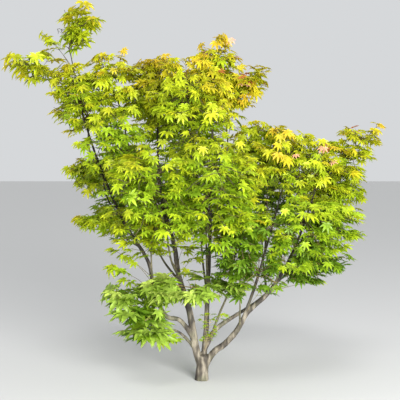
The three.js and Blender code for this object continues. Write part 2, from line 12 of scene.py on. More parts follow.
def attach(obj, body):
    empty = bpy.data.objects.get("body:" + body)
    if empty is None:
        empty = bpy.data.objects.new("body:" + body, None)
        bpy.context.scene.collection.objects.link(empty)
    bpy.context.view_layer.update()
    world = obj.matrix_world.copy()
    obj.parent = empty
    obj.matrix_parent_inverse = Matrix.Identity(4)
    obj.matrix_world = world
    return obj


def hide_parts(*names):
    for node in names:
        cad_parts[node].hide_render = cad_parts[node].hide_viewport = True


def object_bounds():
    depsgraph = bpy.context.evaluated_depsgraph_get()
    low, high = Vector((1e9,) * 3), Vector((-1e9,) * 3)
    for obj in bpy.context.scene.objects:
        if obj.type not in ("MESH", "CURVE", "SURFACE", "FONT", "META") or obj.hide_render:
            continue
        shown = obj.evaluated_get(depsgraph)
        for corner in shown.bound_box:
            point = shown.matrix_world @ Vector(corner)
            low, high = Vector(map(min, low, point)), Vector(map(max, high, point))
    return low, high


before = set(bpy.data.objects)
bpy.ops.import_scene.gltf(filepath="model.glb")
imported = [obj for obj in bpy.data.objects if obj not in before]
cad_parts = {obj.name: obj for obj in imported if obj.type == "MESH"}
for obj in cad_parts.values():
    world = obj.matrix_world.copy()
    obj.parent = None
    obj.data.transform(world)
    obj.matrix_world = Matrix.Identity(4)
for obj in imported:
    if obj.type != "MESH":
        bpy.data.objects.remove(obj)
cad_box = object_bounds()
scene = bpy.context.scene

# ---------------------------------------------------------------- sizes (metres; places in % of the height)
HEIGHT = 2.0
PERCENT = HEIGHT / 100
UP = np.array([0.0, 0.0, 1.0])
SIDEWAYS = np.array([1.0, 0, 0])
LEVEL = np.array([1, 1, 0])  # keeps the level part of a direction
FRONT = np.array([0.0, -5.0, 1.2])  # the side on which the crown's limbs can be seen between the leaves

# Limbs and the masses' spaces, as in the part.
LIMB_BOW = 0.12  # how far a limb with no places between bows out, as a share of its reach
LIMB_THINS = 1.15  # the power by which a limb thins from root to tip
COLLAR, COLLAR_LENGTH = 0.2, 2.5  # what a limb's root adds to its radius, and over how many radii it fades
SWELL = (0.45, 0.43)  # share of the trunk at which it starts to widen to the fork, and over which it does
DOME = (0.88, 0.12)  # the same for its rounded top
SPACE_LENGTH = 0.63  # half a space's length, as a share of the way from the limb's tip to the mass's reach
MASS_LEAF = 0.116  # a leaf of the solids, which sets where a mass's stem ends

# The surface of the wood.
STOUT_SIDES, STOUT_STEP = 22, 0.006
SLIM_SIDES, SLIM_STEP = 10, 0.009
STOUT_NODES, SLIM_NODES = 0.085, 0.06  # between the faint rings on stout and on slim limbs
NODE_WIDTH, NODE_RAISED = 0.005, 0.1  # of a ring: its width, and its height as a share of the radius
WANDER, WANDER_SCALE = 0.05, 14  # how unevenly a limb thins
BARK_VOXEL = 0.003
RIDGES = (0.00045, 90, 22)  # how high the bark's relief is, and how fine across and along the wood
LUMPS = (0.0006, 30, 18)

# Twigs, with a radius at the foot and at the tip.
STEM_RADIUS = (0.0042, 0.0022)
TWIG_RADIUS = (0.0024, 0.0013)
SPRIG_RADIUS = (0.0015, 0.0009)
LOOSE_RADIUS = (0.0016, 0.0008)
TWIG_STEP, LOOSE_STEP = 0.035, 0.03
SPRAYS = 3.7  # twigs for each one in the table
SPARSE = {  # the share of them that these masses have
    "low_pad": 0.62, "low_left": 0.36, "crown_peak": 0.85, "top_plume": 0.8, "left_spray": 0.62,
}
FIRST_ORDER = 0.3  # share of a mass's twigs that leave its stem
CHOICES = (2, 4, 9)  # how many places a twig picks the best of
FAR = 0.25  # how much the way to a place counts against the room there
SHORTEST_TWIG = 0.02
FIRST_SEED, SEED_STEP, SPRIG_SEED = 1000, 37, 77

# The form that the leaves fill: rounder than a mass's space, narrower at some ends, and in flat layers.
ROUNDNESS = 2.45
TAPER = {"crown_peak": 0.48, "right_tip": 0.35, "left_spray": 0.3, "left_side": 0.3, "left_out": 0.3,
         "top_plume": -0.35}  # narrower towards the tip, or towards the stem where it is below 0
INSET = 0.025  # how far a twig's tip keeps inside
TIER = 0.104  # between the flat layers that the sprays lie in
TIER_FALL = 0.3  # how a layer falls away from the tree's middle
PULL = 0.74  # how far a spray moves to its layer
LOOSER = {  # the same in masses whose layers show less
    "left_shoulder": 0.35, "left_side": 0.5, "right_shoulder": 0.35, "right_top": 0.55, "right_inner": 0.55,
    "right_mid": 0.55, "right_fill": 0.6,
}
EDGE, RAGGED = 1.04, 0.3  # the fullest a space gets, and how much less at its ragged edge
MARGIN = 0.028  # how far a leaf's tip may go past the solids' box

# Leaves.
LEAF_LENGTH = 0.056  # a real middle lobe
LEAF_SIZE = {"low_pad": 1.8, "low_left": 2.0, "top_plume": 1.55, "left_spray": 1.5, "crown_peak": 1.15}
SIZE_LOW, SIZE_HIGH, SIZE_CHANGES = 1.06, 0.98, 0.6  # other masses, below and above this share of the height
END_LEAF, TIP_LEAVES, OTHER_LEAVES = (0.6, 1.0), (0.6, 0.9), (0.82, 1.12)  # along a twig, as shares of that
PETIOLE = (0.02, 0.046)
PETIOLE_RADIUS, PETIOLE_THINS = 0.0009, 0.7
NODES_APART = (0.03, 0.044)
LONG_TWIG = 0.2  # a longer twig has four leafy nodes and not three
TIP_GAP = 0.002  # from a twig's tip to its last node
BARE_FOOT = 0.2  # share of a twig that bears no leaves
HANGING_PITCH, SPREAD_PITCH = (24, 66), (-10, 20)  # degrees below level
HANGING_SHARE = (0.1, 0.32)  # share of leaves that hang low in the tree, and what height adds
HANGING_RISE = (0.5, 0.35)  # share of the height at which that starts to grow, and over which it does
HANGING = {"right_inner": 0.3, "right_mid": 0.3, "right_shoulder": 0.3, "right_fill": 0.16, "left_side": 0.28,
           "left_out": 0.28, "crown_top": -0.12, "top_plume": -0.14}  # what these masses add
DROOP, FOLD, ROLL = (0.06, 0.34), (0.05, 0.11), 0.3  # arching of the lobes, pleats between ribs, tilt
IN_SIGHT = 0.72  # how full a space is where its leaves show their teeth

# How golden a leaf is, from 0 to 1, beyond what its mass is.
GOLD_IN_MASS, MASS_RISE = 0.17, 0.16  # higher in its mass, over this share of the height
GOLD_IN_TREE, TREE_MIDDLE = 0.3, 0.6  # higher in the tree, from this share of the height
GOLD_YOUNG = 0.08
PAINTED_SHADE_WITHIN, OUTSIDE = 0.32, 0.8  # painted shade: further in, a leaf takes a darker, greener tint, and further out a lighter, golden one, from where the space is this full
GOLD_DRIFT, DRIFT_SCALE = 0.16, 3.2
GOLD_BY_TWIG, GOLD_BY_LEAF = 0.06, 0.025
FLUSHED = {  # share of copper and rose among the youngest leaves, high in these masses
    "crown_peak": 0.5, "right_tip": 0.28, "right_top": 0.28, "right_inner": 0.28,
}
FLUSH_YOUTH, ROSE_SHARE = 0.85, 0.45
# painted sheen: the big flat leaves of these masses take paler, greyer tints, partly their own colour and
# partly the sky's sheen on their flat tops
PALE_MASSES = {"low_pad", "low_left"}
PALE_FROM, PALEST_FROM = 0.2, 0.42

TRUNK = dict(height=6.9, sunk=0.4, foot=1.86, waist=1.62, fork=1.84, crest=1.2, flare=1.3, lean=(0.3, 0.3))

LIMBS = [  # name, from, at, places between, tip, girth, end
    ("left_stem", "trunk", 0.5, [(-1.6, 0, 8.4), (-2.4, 0, 13.2), (-3.3, 0, 18.5), (-6.2, 1, 28),
     (-7.4, 1, 36), (-11, 2, 49)], (-12, 3, 71), 1.08, 0.22),
    ("middle_stem", "trunk", 0.56, [(0.8, 1, 9), (1.2, 1.8, 14), (1.4, 2.2, 20), (1.9, 3, 31),
     (2.5, 4, 50)], (3, 4, 76), 0.8, 0.2),
    ("right_stem", "trunk", 0.46, [(3.4, -0.8, 7.9), (6, -1.3, 9.9), (9.2, -2, 13.6), (12, -2, 18.4),
     (17.4, -2, 23.5), (21.5, -2, 29.5), (26, -1, 39)], (30.5, 0, 52), 0.94, 0.2),
    ("left_whip", "left_stem", 0.12, [(-6, -1.2, 16.4), (-9.4, -2.6, 17.6), (-12.5, -4, 24.5), (-14, -4, 32),
     (-20, -4, 42), (-25.5, -3, 54), (-31, -2, 70)], (-34.5, -2, 87), 0.66, 0.18),
    ("left_low_bough", "left_stem", 0.07, [(-4.6, -1.4, 11.9), (-7, -3, 13.9)], (-12, -7, 14.6), 0.5, 0.2),
    ("left_spray_bough", "left_whip", 0.88, [], (-38.5, -3, 81), 0.2, 0.15),
    ("left_side_bough", "left_whip", 0.47, [], (-26.5, 1.5, 53.5), 0.24, 0.17),
    ("left_shoulder_bough", "left_whip", 0.62, [], (-29.5, -5, 69), 0.25, 0.17),
    ("left_out_bough", "left_whip", 0.36, [], (-22.5, -5, 43), 0.26, 0.17),
    ("low_pad_bough", "left_whip", 0.16, [], (-11.5, -8, 26), 0.3, 0.2),
    ("front_left_bough", "left_stem", 0.36, [], (-9, -20, 45), 0.36, 0.18),
    ("front_low_left_bough", "left_whip", 0.22, [], (-13, -11, 39.5), 0.28, 0.17),
    ("left_inner_bough", "left_stem", 0.62, [], (-17, -8, 57), 0.28, 0.17),
    ("ridge_bough", "left_stem", 0.74, [], (-21, -2, 71), 0.28, 0.17),
    ("front_mid_bough", "middle_stem", 0.3, [], (1, -20, 45), 0.36, 0.18),
    ("high_front_bough", "middle_stem", 0.6, [], (-3, -11, 64), 0.26, 0.17),
    ("right_top_bough", "middle_stem", 0.66, [], (5.8, 4, 73), 0.27, 0.17),
    ("right_low_bough", "middle_stem", 0.07, [(3.4, 2, 12.8), (5.8, 2.4, 14.9), (9, 2.6, 16.9),
     (15, 2, 21)], (23, -1, 29.2), 0.76, 0.18),
    ("front_low_right_bough", "right_low_bough", 0.12, [(4.8, -2.2, 18.6),
     (7, -5.4, 24.6)], (8.5, -12, 35), 0.34, 0.17),
    ("right_tuft_bough", "right_stem", 0.27, [], (9.8, -11, 27.5), 0.26, 0.17),
    ("right_inner_bough", "right_stem", 0.3, [(14, -2.5, 25.5), (17, -3, 36)], (21.5, -4, 53), 0.46, 0.19),
    ("right_fill_bough", "right_stem", 0.48, [], (20.5, -12, 37), 0.28, 0.17),
    ("right_mid_bough", "right_stem", 0.7, [], (32, 8, 47), 0.28, 0.17),
    ("right_out_bough", "right_stem", 0.62, [], (28, -9, 41), 0.26, 0.17),
    ("right_shoulder_bough", "right_inner_bough", 0.5, [], (18, 7, 56), 0.26, 0.17),
    ("back_left_bough", "left_stem", 0.34, [], (-15, 20, 42), 0.36, 0.18),
    ("back_mid_bough", "middle_stem", 0.26, [], (-0.5, 22, 44), 0.36, 0.18),
    ("back_high_bough", "middle_stem", 0.56, [], (-3.5, 15, 65), 0.28, 0.17),
    ("back_right_bough", "right_stem", 0.46, [], (17, 19, 42), 0.34, 0.18),
]
STOUT = {
    "trunk", "left_stem", "middle_stem", "right_stem", "left_whip", "right_low_bough", "right_inner_bough",
    "left_low_bough",
}

MASSES = [  # name, limb, reach, half width, half thickness, sprays, how golden its leaves are (0 to 1), partly set as painted light and shade that lightens or darkens whole masses
    ("crown_top", "left_stem", (-11.5, 2, 87.5), 11.5, 11, 30, 0.66),
    ("crown_peak", "middle_stem", (5.2, 3.5, 93), 9.5, 8.5, 26, 0.72),
    ("right_tip", "right_stem", (47, -4, 69), 10.5, 8, 34, 0.7),
    ("top_plume", "left_whip", (-31, -2, 100), 9, 7.5, 11, 0.5),
    ("low_left", "left_low_bough", (-22.5, -12, 26.5), 11, 8.5, 11, 0.4),
    ("left_spray", "left_spray_bough", (-51, -5, 86.3), 6, 6, 8, 0.52),
    ("left_side", "left_side_bough", (-36, 2, 57), 9.5, 5.5, 14, 0.62),
    ("left_shoulder", "left_shoulder_bough", (-34.5, -9, 84), 8.5, 9.5, 26, 0.58),
    ("left_out", "left_out_bough", (-33.5, -7, 44.3), 9.5, 5, 14, 0.58),
    ("low_pad", "low_pad_bough", (9, -17, 27.5), 11, 5, 12, 0.56),
    ("front_left", "front_left_bough", (-16, -37, 59), 13, 11.5, 32, 0.45),
    ("front_low_left", "front_low_left_bough", (-12, -27, 48), 11, 7, 22, 0.5),
    ("left_inner", "left_inner_bough", (-26, -20, 69), 11, 10, 28, 0.46),
    ("ridge", "ridge_bough", (-27, -4, 87), 12, 9.5, 28, 0.62),
    ("front_mid", "front_mid_bough", (4, -38, 62), 13, 11.5, 32, 0.5),
    ("high_front", "high_front_bough", (-4, -21, 84), 12, 11, 32, 0.6),
    ("right_top", "right_top_bough", (17.5, 3, 84), 9, 5, 24, 0.72),
    ("front_low_right", "front_low_right_bough", (9.5, -31, 46), 11, 9, 24, 0.14),
    ("right_tuft", "right_tuft_bough", (17, -25, 34), 9.5, 6, 14, 0.14),
    ("right_low", "right_low_bough", (39, -4, 34), 11, 5, 22, 0.2),
    ("right_inner", "right_inner_bough", (27, -9, 66.5), 11, 9.5, 26, 0.62),
    ("right_fill", "right_fill_bough", (27, -28, 48), 12, 10, 30, 0.42),
    ("right_mid", "right_mid_bough", (43, 13, 53.5), 11, 8.5, 24, 0.6),
    ("right_out", "right_out_bough", (38, -18, 45), 11, 8.5, 24, 0.4),
    ("right_shoulder", "right_shoulder_bough", (14, 9, 69.5), 11, 11, 24, 0.6),
    ("back_left", "back_left_bough", (-27, 36, 60), 14.5, 13, 36, 0.36),
    ("back_mid", "back_mid_bough", (-3, 42, 62), 14.5, 13, 36, 0.34),
    ("back_high", "back_high_bough", (-9, 25, 83), 14.5, 12, 34, 0.48),
    ("back_right", "back_right_bough", (26, 35, 60), 14.5, 13, 36, 0.38),
]

# ---------------------------------------------------------------- camera, light and floor
camera = bpy.data.objects.new("camera", bpy.data.cameras.new("camera"))
scene.collection.objects.link(camera)
camera.data.lens = 84.6
camera.data.sensor_width = 36
camera.location = (0, -5.0, 1.2)
camera.rotation_euler = (Vector((-0.01, 0, 0.967)) - camera.location).to_track_quat("-Z", "Y").to_euler()
scene.camera = camera
scene.view_settings.view_transform = "Standard"

world = bpy.data.worlds.new("studio")
scene.world = world
world.use_nodes = True
background = world.node_tree.nodes["Background"]
background.inputs["Color"].default_value = (0.86, 0.88, 0.9, 1)
background.inputs["Strength"].default_value = 0.78


def area_light(name, place, target, size, power):
    light = bpy.data.lights.new(name, "AREA")
    light.energy = power
    light.size = size
    holder = bpy.data.objects.new(name, light)
    holder.location = place
    holder.rotation_euler = (Vector(target) - Vector(place)).to_track_quat("-Z", "Y").to_euler()
    scene.collection.objects.link(holder)


sun = bpy.data.lights.new("key", "SUN")
sun.energy = 0.85
sun.angle = math.radians(18)
key = bpy.data.objects.new("key", sun)
key.rotation_euler = (math.radians(40), math.radians(-8), 0)
scene.collection.objects.link(key)
area_light("fill", place=(2.1, -6.7, 1.9), target=(0.1, 0, 1.1), size=3.2, power=1440)


# ---------------------------------------------------------------- materials
MIX_FACTOR, MIX_FIRST, MIX_SECOND, MIX_RESULT = 0, 6, 7, 2  # sockets of a Mix node that mixes colours


def linear(rgb):
    """A linear colour with alpha, from sRGB values of 0 to 255."""
    return tuple((c / 255 / 12.92) if c <= 10 else ((c / 255 + 0.055) / 1.055) ** 2.4 for c in rgb) + (1.0,)


def material(name):
    made = bpy.data.materials.new(name)
    made.use_nodes = True
    return made, made.node_tree.nodes, made.node_tree.links, made.node_tree.nodes["Principled BSDF"]


def plain(name, rgb, roughness):
    made, _, _, shader = material(name)
    shader.inputs["Base Color"].default_value = linear(rgb)
    shader.inputs["Roughness"].default_value = roughness
    return made


def noise_node(nodes, links, coordinates, scale, detail, stretch=(1, 1, 1)):
    mapping = nodes.new("ShaderNodeMapping")
    mapping.inputs["Scale"].default_value = stretch
    links.new(coordinates, mapping.inputs["Vector"])
    texture = nodes.new("ShaderNodeTexNoise")
    texture.inputs["Scale"].default_value = scale
    texture.inputs["Detail"].default_value = detail
    links.new(mapping.outputs[0], texture.inputs["Vector"])
    return texture.outputs["Fac"]


def ramp(nodes, links, value, stops):
    node = nodes.new("ShaderNodeValToRGB")
    links.new(value, node.inputs[0])
    elements = node.color_ramp.elements
    while len(elements) < len(stops):
        elements.new(0.5)
    for element, (place, rgb) in zip(elements, stops):
        element.position = place
        element.color = linear(rgb)
    return node.outputs[0]


def bark_material(name, stops, lichen, roughness, relief):
    """Smooth maple bark: blotches stretched along the wood, faint lichen, fine relief, and painted shade that
    darkens it higher up.
    """
    made, nodes, links, shader = material(name)
    where = nodes.new("ShaderNodeTexCoord").outputs["Object"]
    blotch = ramp(nodes, links, noise_node(nodes, links, where, 44, 8, stretch=(1, 1, 0.3)), stops)
    spots = noise_node(nodes, links, where, 9, 3)
    patch = ramp(nodes, links, spots, [(0.48, (0, 0, 0)), (0.66, (150, 150, 150))])
    mix = nodes.new("ShaderNodeMix")
    mix.data_type = "RGBA"
    links.new(patch, mix.inputs[MIX_FACTOR])
    links.new(blotch, mix.inputs[MIX_FIRST])
    mix.inputs[MIX_SECOND].default_value = linear(lichen)
    # painted shade: the colour is multiplied darker with height, for the shade under the crown
    height = nodes.new("ShaderNodeSeparateXYZ")
    links.new(where, height.inputs[0])
    dark = ramp(nodes, links, height.outputs[2], [(0.3, (255, 255, 255)), (0.95, (128, 120, 104))])
    tone = nodes.new("ShaderNodeMix")
    tone.data_type = "RGBA"
    tone.blend_type = "MULTIPLY"
    tone.inputs[MIX_FACTOR].default_value = 1
    links.new(mix.outputs[MIX_RESULT], tone.inputs[MIX_FIRST])
    links.new(dark, tone.inputs[MIX_SECOND])
    links.new(tone.outputs[MIX_RESULT], shader.inputs["Base Color"])
    shader.inputs["Roughness"].default_value = roughness
    bump = nodes.new("ShaderNodeBump")
    bump.inputs["Distance"].default_value = relief
    bump.inputs["Strength"].default_value = 0.7
    links.new(noise_node(nodes, links, where, 95, 6, stretch=(1, 1, 0.25)), bump.inputs["Height"])
    links.new(bump.outputs[0], shader.inputs["Normal"])
    return made


old_bark = bark_material("old_bark", [(0.36, (40, 35, 29)), (0.5, (78, 71, 60)), (0.64, (126, 118, 103))],
                         lichen=(112, 114, 84), roughness=0.8, relief=0.006)
young_bark = bark_material("young_bark", [(0.3, (70, 66, 48)), (0.5, (100, 96, 72)), (0.7, (132, 124, 96))],
                           lichen=(110, 120, 84), roughness=0.7, relief=0.001)
twig_bark = bark_material("twig_bark", [(0.3, (84, 74, 44)), (0.55, (122, 108, 62)), (0.75, (142, 112, 70))],
                          lichen=(120, 130, 70), roughness=0.6, relief=0.0005)
leaf_stalk = bark_material("leaf_stalk", [(0.3, (132, 112, 52)), (0.55, (158, 148, 62)),
                                          (0.75, (170, 104, 66))],
                           lichen=(150, 160, 70), roughness=0.5, relief=0.0002)


def leaf_material(name, rgb):
    """Thin soft leaf: a little light comes through, and the surface is faintly blotched."""
    made, nodes, links, shader = material(name)
    where = nodes.new("ShaderNodeTexCoord").outputs["Object"]
    dark = tuple(c * 0.86 for c in rgb)
    pale = tuple(min(255, c * 1.1 + 4) for c in rgb)
    tone = ramp(nodes, links, noise_node(nodes, links, where, 38, 3), [(0.35, dark), (0.65, pale)])
    links.new(tone, shader.inputs["Base Color"])
    shader.inputs["Roughness"].default_value = 0.42
    shader.inputs["Specular IOR Level"].default_value = 0.34
    through = nodes.new("ShaderNodeBsdfTranslucent")
    links.new(tone, through.inputs["Color"])
    mix = nodes.new("ShaderNodeMixShader")
    mix.inputs[0].default_value = 0.42
    links.new(shader.outputs[0], mix.inputs[1])
    links.new(through.outputs[0], mix.inputs[2])
    links.new(mix.outputs[0], nodes["Material Output"].inputs["Surface"])
    return made


TINTS = [  # from a dark green painted as shade within the crown to gold, then those of flushed tips, then those of the pale masses, partly a painted sheen
    ("shade_green", (98, 132, 28)), ("deep_green", (124, 156, 30)), ("mid_green", (148, 176, 32)),
    ("fresh_green", (164, 184, 32)), ("lime", (174, 186, 32)), ("yellow_green", (180, 182, 30)),
    ("yellow", (188, 176, 32)), ("gold", (196, 170, 38)),
    ("copper", (190, 118, 62)), ("rose", (212, 160, 128)),
    ("pale_green", (146, 174, 62)), ("pale_lime", (178, 198, 88)),
]
RIPENING = 8  # the tints that run from shade to gold
COPPER, ROSE, PALE_GREEN, PALE_LIME = range(RIPENING, len(TINTS))
TINT_MATERIALS = [leaf_material("leaf_" + name, rgb) for name, rgb in TINTS]

FLOOR_REACH = 40
floor_mesh = bpy.data.meshes.new("floor")
corners = [(x * FLOOR_REACH, y * FLOOR_REACH, 0) for x, y in ((-1, -1), (1, -1), (1, 1), (-1, 1))]
floor_mesh.from_pydata(corners, [], [(0, 1, 2, 3)])
floor = bpy.data.objects.new("floor", floor_mesh)
floor_mesh.materials.append(plain("floor", (196, 196, 195), roughness=0.9))
scene.collection.objects.link(floor)


# ---------------------------------------------------------------- geometry helpers
def unit(v):
    return v / max(np.linalg.norm(v), 1e-12)


def clamp(value, low, high):
    return min(max(value, low), high)


class Curve:
    """A curve held as closely spaced places, and read by its share of length."""

    def __init__(self, places):
        self.places = places
        steps = np.linalg.norm(np.diff(places, axis=0), axis=1)
        self.along = np.concatenate([[0], np.cumsum(steps)])
        self.length = self.along[-1]

    def at(self, share):
        return np.array([np.interp(share * self.length, self.along, self.places[:, k]) for k in range(3)])

    def heading(self, share):
        low, high = max(share - 0.004, 0), min(share + 0.004, 1)
        return unit(self.at(high) - self.at(low))


def curve_through(points):
    """The centripetal Catmull-Rom curve through points."""
    points = [np.array(p, float) for p in points]
    ends = [2 * points[0] - points[1], *points, 2 * points[-1] - points[-2]]
    made = []
    for p0, p1, p2, p3 in zip(ends, ends[1:], ends[2:], ends[3:]):
        steps = ((p0, p1), (p1, p2), (p2, p3))
        d0, d1, d2 = (max(np.linalg.norm(b - a), 1e-9) ** 0.5 for a, b in steps)
        t1 = ((p1 - p0) / d0 - (p2 - p0) / (d0 + d1) + (p2 - p1) / d1) * d1
        t2 = ((p2 - p1) / d1 - (p3 - p1) / (d1 + d2) + (p3 - p2) / d2) * d1
        squared = -3 * p1 + 3 * p2 - 2 * t1 - t2
        cubed = 2 * p1 - 2 * p2 + t1 + t2
        t = np.linspace(0, 1, 40, endpoint=False)[:, None]
        made.append(p1 + t1 * t + squared * t**2 + cubed * t**3)
    return Curve(np.vstack([*made, points[-1][None]]))


MOST_TRIANGLES = 150000


class Builder:
    """Collects vertices and faces for one joined piece."""

    def __init__(self):
        self.points, self.faces, self.count = [], [], 0

    def add(self, points, faces):
        self.points.append(np.asarray(points, float))
        self.faces.append(np.asarray(faces, int) + self.count)
        self.count += len(points)

    def tube(self, places, radii, sides):
        """A closed tube of triangles along places."""
        places = np.asarray(places, float)
        tangents = np.gradient(places, axis=0)
        tangents /= np.maximum(np.linalg.norm(tangents, axis=1), 1e-12)[:, None]
        side = np.cross(tangents[0], UP if abs(tangents[0][2]) < 0.9 else SIDEWAYS)
        rings = []
        turn = np.linspace(0, 2 * math.pi, sides, endpoint=False)
        for place, tangent, radius in zip(places, tangents, radii):
            side = unit(side - tangent * side.dot(tangent))
            other = np.cross(tangent, side)
            radius = np.broadcast_to(radius, sides)
            ring = np.outer(np.cos(turn) * radius, side) + np.outer(np.sin(turn) * radius, other)
            rings.append(place + ring)
        points = np.vstack([*rings, places[0][None], places[-1][None]])
        n, last = len(places), len(places) * sides
        faces = []
        for k in range(n - 1):
            for i in range(sides):
                a, b = k * sides + i, k * sides + (i + 1) % sides
                faces += [(a, b, b + sides), (a, b + sides, a + sides)]
        for i in range(sides):
            j = (i + 1) % sides
            faces += [(last, j, i), (last + 1, (n - 1) * sides + i, (n - 1) * sides + j)]
        self.add(points, faces)

    def stalk(self, start, end):
        """A thin three-sided stalk, open where it meets the twig and the blade."""
        way = unit(end - start)
        side = unit(np.cross(way, UP) + 1e-6)
        over = np.cross(way, side)
        ring = np.array([side, -0.5 * side + 0.87 * over, -0.5 * side - 0.87 * over])
        faces = [(0, 1, 4), (0, 4, 3), (1, 2, 5), (1, 5, 4), (2, 0, 3), (2, 3, 5)]
        foot = ring * PETIOLE_RADIUS
        self.add(np.vstack([start + foot, end + foot * PETIOLE_THINS]), faces)

    def pieces(self, name, surface):
        """The objects that this makes, none of them over MOST_TRIANGLES."""
        groups, size = [[]], 0
        for k, faces in enumerate(self.faces):
            if size + len(faces) > MOST_TRIANGLES:
                groups.append([])
                size = 0
            groups[-1].append(k)
            size += len(faces)
        starts = np.cumsum([0] + [len(p) for p in self.points])
        made = []
        for n, group in enumerate(g for g in groups if g):
            part = Builder()
            for k in group:
                part.add(self.points[k], self.faces[k] - starts[k])
            made.append(part.object(name + (f"_{n + 1}" if n else ""), surface))
        return made

    def object(self, name, surface):
        """All of it as one smooth object."""
        points, faces = np.vstack(self.points), np.vstack(self.faces)
        mesh = bpy.data.meshes.new(name)
        mesh.vertices.add(len(points))
        mesh.vertices.foreach_set("co", points.astype(np.float32).ravel())
        mesh.loops.add(3 * len(faces))
        mesh.loops.foreach_set("vertex_index", faces.astype(np.int32).ravel())
        mesh.polygons.add(len(faces))
        mesh.polygons.foreach_set("loop_start", np.arange(0, 3 * len(faces), 3, dtype=np.int32))
        mesh.update(calc_edges=True)
        mesh.polygons.foreach_set("use_smooth", np.full(len(faces), True))
        mesh.materials.append(surface)
        made = bpy.data.objects.new(name, mesh)
        scene.collection.objects.link(made)
        return made


# ---------------------------------------------------------------- limbs, by the part's own rule
class Limb:
    """A length of wood: its curve, and its radius by share of length."""

    def __init__(self, name, curve, radius):
        self.name, self.curve, self.radius = name, curve, radius


def trunk_limb():
    t = TRUNK
    lean, high = np.array([*t["lean"], 0]), t["height"]
    ways = [-UP * t["sunk"], UP * high / 3, lean + UP * high * 2 / 3, lean + UP * high]
    along = np.linspace(0, 1, 121)[:, None]
    weights = [(1 - along) ** 3, 3 * along * (1 - along) ** 2, 3 * along**2 * (1 - along), along**3]
    curve = Curve(sum(w * way for w, way in zip(weights, ways)) * PERCENT)

    def radius(share):
        rise = max(share * (t["height"] + t["sunk"]) - t["sunk"], 0)
        step = clamp((share - SWELL[0]) / SWELL[1], 0, 1)
        swell = (t["fork"] - t["waist"]) * step * step * (3 - 2 * step)
        dome = 1 - (1 - t["crest"] / t["fork"]) * clamp((share - DOME[0]) / DOME[1], 0, 1) ** 2
        return (t["waist"] + (t["foot"] - t["waist"]) * math.exp(-rise / t["flare"]) + swell) * dome * PERCENT

    return Limb("trunk", curve, radius)


def grown_limb(row, parent):
    name, _, at, through, tip, girth, end = row
    root, tip = parent.curve.at(at), np.array(tip) * PERCENT
    between = [np.array(p) * PERCENT for p in through]
    if not between:
        reach = tip - root
        outward = unit(reach * LEVEL)
        bow = LIMB_BOW * np.linalg.norm(reach)
        between = [root + reach / 2 + outward * bow - UP * bow / 2]
    curve = curve_through([root, *between, tip])
    girth, end = girth * PERCENT, end * PERCENT

    def radius(share):
        collar = COLLAR * girth * math.exp(-share * curve.length / (COLLAR_LENGTH * girth))
        return end + (girth - end) * (1 - share) ** LIMB_THINS + collar

    return Limb(name, curve, radius)


limbs = {"trunk": trunk_limb()}
for row in LIMBS:
    limbs[row[0]] = grown_limb(row, limbs[row[1]])


def limb_tube(builder, limb, sides, step, seed):
    """A limb's tube, with faint rings at its nodes and a wandering girth. The trunk has ribs and lobes."""
    rings = max(6, int(limb.curve.length / step))
    spacing = STOUT_NODES if limb.name in STOUT else SLIM_NODES
    turn = np.linspace(0, 2 * math.pi, sides, endpoint=False)
    places, radii = [], []
    for k in range(rings + 1):
        share = k / rings
        distance = share * limb.curve.length
        radius = limb.radius(share)
        node = math.exp(-(((distance / spacing + 0.5) % 1 - 0.5) * spacing / NODE_WIDTH) ** 2)
        wander = WANDER * noise.noise((distance * WANDER_SCALE, seed, 0))
        radius *= 1 + wander + (NODE_RAISED * node if limb.name != "trunk" and share > 0.08 else 0)
        if limb.name == "trunk":
            ribs = 0.06 * np.cos(5 * turn) * math.exp(-share * TRUNK["height"] / TRUNK["flare"])
            lobes = 0.035 * np.cos(3 * turn + 1.1 + 2 * share) + 0.02 * np.cos(7 * turn - 3 * share)
            radius = radius * (1 + ribs + lobes)
        places.append(limb.curve.at(share))
        radii.append(radius)
    builder.tube(places, radii, sides)


stout, slim = Builder(), Builder()
for seed, limb in enumerate(limbs.values()):
    if limb.name in STOUT:
        limb_tube(stout, limb, STOUT_SIDES, STOUT_STEP, seed)
    else:
        limb_tube(slim, limb, SLIM_SIDES, SLIM_STEP, seed)


def bark_relief(x, y, z):
    """How far the bark stands out at a place: fine ridges along the wood, on broader lumps."""
    height, across, along = RIDGES
    ridges = height * noise.fractal(Vector((x * across, y * across, z * along)), 0.9, 2.1, 3)
    height, across, along = LUMPS
    return ridges + height * noise.noise(Vector((x * across, y * across, z * along)))


def fused_bark(rough):
    """One skin over the stout limbs, melted together where they fork, with relief and a flat foot."""
    remesh = rough.modifiers.new("fuse", "REMESH")
    remesh.mode = "VOXEL"
    remesh.voxel_size = BARK_VOXEL
    remesh.use_smooth_shade = True
    soften = rough.modifiers.new("soften", "SMOOTH")
    soften.factor = 0.5
    soften.iterations = 4
    fused = bpy.data.meshes.new_from_object(rough.evaluated_get(bpy.context.evaluated_depsgraph_get()))
    bpy.data.objects.remove(rough)
    fused.name = "bark"
    made = bpy.data.objects.new("bark", fused)
    scene.collection.objects.link(made)
    places = np.empty(3 * len(fused.vertices), np.float32)
    normals = np.empty_like(places)
    fused.vertices.foreach_get("co", places)
    fused.vertices.foreach_get("normal", normals)
    places, normals = places.reshape(-1, 3), normals.reshape(-1, 3)
    relief = np.array([bark_relief(*place) for place in places.tolist()])
    places += normals * relief[:, None]
    places[:, 2] = np.maximum(places[:, 2], 0)
    fused.vertices.foreach_set("co", places.ravel())
    fused.update()
    fused.polygons.foreach_set("use_smooth", np.full(len(fused.polygons), True))
    return made


bark = fused_bark(stout.object("rough_bark", old_bark))
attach(bark, "root")
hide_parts(*[name for name in limbs if name in STOUT])

boughs = slim.object("boughs", young_bark)
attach(boughs, "root")
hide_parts(*[name for name in limbs if name not in STOUT])


